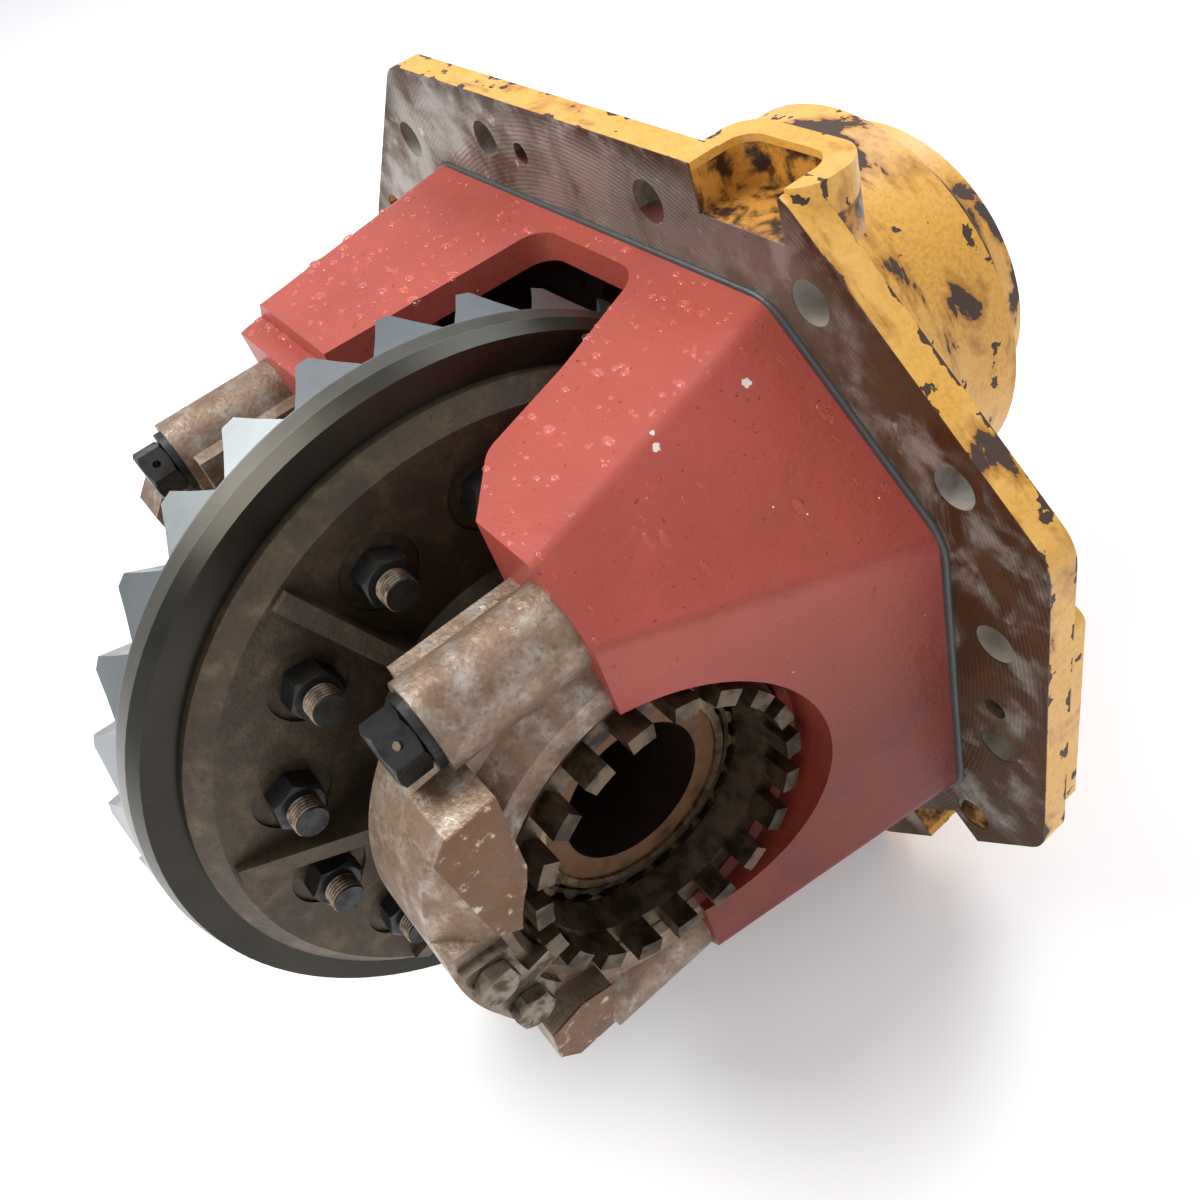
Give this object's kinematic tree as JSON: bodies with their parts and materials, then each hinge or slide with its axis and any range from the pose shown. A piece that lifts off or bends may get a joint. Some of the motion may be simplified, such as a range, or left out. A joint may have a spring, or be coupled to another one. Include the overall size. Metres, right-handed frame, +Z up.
{
  "type": "differential",
  "caption": "Drive axle differential: hypoid crown wheel and pinion, bevel gear case on taper bearings, split caps and a bolt-on carrier flange.",
  "frame": {"origin": "centre of the machined mounting face of the carrier flange", "axes": "+X along the axle axis towards the crown wheel's back, +Y along the pinion axis towards the companion flange, +Z up"},
  "size_m": [0.588, 0.6252, 0.476],
  "materials": {
    "carrier_paint": "matt primer red on the casting, flange face bare",
    "cap_cast": "rough cast, light rust",
    "case_cast": "rough cast, oily",
    "gear_steel": "ground teeth, dark oil film",
    "bolt_black": "black oxide",
    "zinc": "zinc plated",
    "adjuster_steel": "machined, oily",
    "race_steel": "ground",
    "cage_steel": "pressed",
    "shaft_steel": "hardened and ground",
    "bronze": "plain",
    "yellow_cast": "worn yellow paint",
    "flange_steel": "turned, lightly rusted",
    "seal_rubber": "smooth"
  },
  "bodies": {
    "carrier": {"carrier_housing": "carrier_paint", "near_bearing_cap": "cap_cast", "far_bearing_cap": "cap_cast", "bearing_cap_bolts": "bolt_black", "bearing_cap_washers": "bolt_black", "bearing_cap_dowels": "shaft_steel", "near_adjuster": "adjuster_steel", "far_adjuster": "adjuster_steel", "near_lock_plate": "zinc", "far_lock_plate": "zinc", "lock_plate_bolts": "zinc", "near_bearing_cup": "race_steel", "far_bearing_cup": "race_steel", "pinion_cage": "yellow_cast", "pinion_cage_shims": "race_steel", "pinion_cage_bolts": "bolt_black", "pinion_seal": "seal_rubber", "pinion_head_bearing_cup": "race_steel", "pinion_tail_bearing_cup": "race_steel"},
    "case": {"case_flange_half": "case_cast", "case_plain_half": "case_cast", "case_half_bolts": "bolt_black", "cross_shaft": "shaft_steel", "side_gear_washers": "bronze", "spider_pinion_washers": "bronze", "ring_gear": "gear_steel", "ring_gear_bolts": "bolt_black", "ring_gear_nuts": "bolt_black", "near_bearing_cone": "race_steel", "far_bearing_cone": "race_steel"},
    "pinion": {"drive_pinion": "gear_steel", "pinion_spacer": "shaft_steel", "companion_flange": "flange_steel", "pinion_washer": "shaft_steel", "pinion_nut": "bolt_black", "pinion_head_bearing_cone": "race_steel", "pinion_tail_bearing_cone": "race_steel"},
    "far_side": {"far_side_gear": "gear_steel"},
    "near_side": {"near_side_gear": "gear_steel"},
    "spider_1": {"spider_pinion_1": "gear_steel"},
    "spider_2": {"spider_pinion_2": "gear_steel"},
    "spider_3": {"spider_pinion_3": "gear_steel"},
    "spider_4": {"spider_pinion_4": "gear_steel"},
    "near_rollers": {"near_bearing_rollers": "race_steel", "near_bearing_cage": "cage_steel"},
    "far_rollers": {"far_bearing_rollers": "race_steel", "far_bearing_cage": "cage_steel"},
    "head_rollers": {"pinion_head_bearing_rollers": "race_steel", "pinion_head_bearing_cage": "cage_steel"},
    "tail_rollers": {"pinion_tail_bearing_rollers": "race_steel", "pinion_tail_bearing_cage": "cage_steel"}
  },
  "joints": [
    {"name": "case_spin", "type": "hinge", "parent": "carrier", "child": "case", "pos_m": [0, -0.156, 0], "axis": [1, 0, 0], "continuous": true},
    {"name": "pinion_spin", "type": "hinge", "parent": "carrier", "child": "pinion", "pos_m": [0, 0, 0.028], "axis": [0, 1, 0], "continuous": true},
    {"name": "far_side_gear_spin", "type": "hinge", "parent": "case", "child": "far_side", "pos_m": [0, -0.156, 0], "axis": [1, 0, 0], "continuous": true},
    {"name": "near_side_gear_spin", "type": "hinge", "parent": "case", "child": "near_side", "pos_m": [0, -0.156, 0], "axis": [1, 0, 0], "continuous": true},
    {"name": "near_rollers_spin", "type": "hinge", "parent": "carrier", "child": "near_rollers", "pos_m": [0, -0.156, 0], "axis": [1, 0, 0], "continuous": true},
    {"name": "far_rollers_spin", "type": "hinge", "parent": "carrier", "child": "far_rollers", "pos_m": [0, -0.156, 0], "axis": [1, 0, 0], "continuous": true},
    {"name": "head_rollers_spin", "type": "hinge", "parent": "carrier", "child": "head_rollers", "pos_m": [0, 0, 0.028], "axis": [0, 1, 0], "continuous": true},
    {"name": "tail_rollers_spin", "type": "hinge", "parent": "carrier", "child": "tail_rollers", "pos_m": [0, 0, 0.028], "axis": [0, 1, 0], "continuous": true},
    {"name": "spider_pinion_1_spin", "type": "hinge", "parent": "case", "child": "spider_1", "pos_m": [0, -0.156, 0], "axis": [0, 1, 0], "continuous": true},
    {"name": "spider_pinion_2_spin", "type": "hinge", "parent": "case", "child": "spider_2", "pos_m": [0, -0.156, 0], "axis": [0, 0, 1], "continuous": true},
    {"name": "spider_pinion_3_spin", "type": "hinge", "parent": "case", "child": "spider_3", "pos_m": [0, -0.156, 0], "axis": [0, -1, 0], "continuous": true},
    {"name": "spider_pinion_4_spin", "type": "hinge", "parent": "case", "child": "spider_4", "pos_m": [0, -0.156, 0], "axis": [0, 0, -1], "continuous": true}
  ],
  "couplings": [
    {"joint": "pinion_spin", "follows": "case_spin", "ratio": -6.2},
    {"joint": "near_rollers_spin", "follows": "case_spin", "ratio": 0.452},
    {"joint": "far_rollers_spin", "follows": "case_spin", "ratio": 0.452},
    {"joint": "head_rollers_spin", "follows": "case_spin", "ratio": -2.6195},
    {"joint": "tail_rollers_spin", "follows": "case_spin", "ratio": -2.573},
    {"joint": "near_side_gear_spin", "follows": "far_side_gear_spin", "ratio": -1},
    {"joint": "spider_pinion_1_spin", "follows": "far_side_gear_spin", "ratio": 1.6},
    {"joint": "spider_pinion_2_spin", "follows": "far_side_gear_spin", "ratio": 1.6},
    {"joint": "spider_pinion_3_spin", "follows": "far_side_gear_spin", "ratio": 1.6},
    {"joint": "spider_pinion_4_spin", "follows": "far_side_gear_spin", "ratio": 1.6}
  ]
}
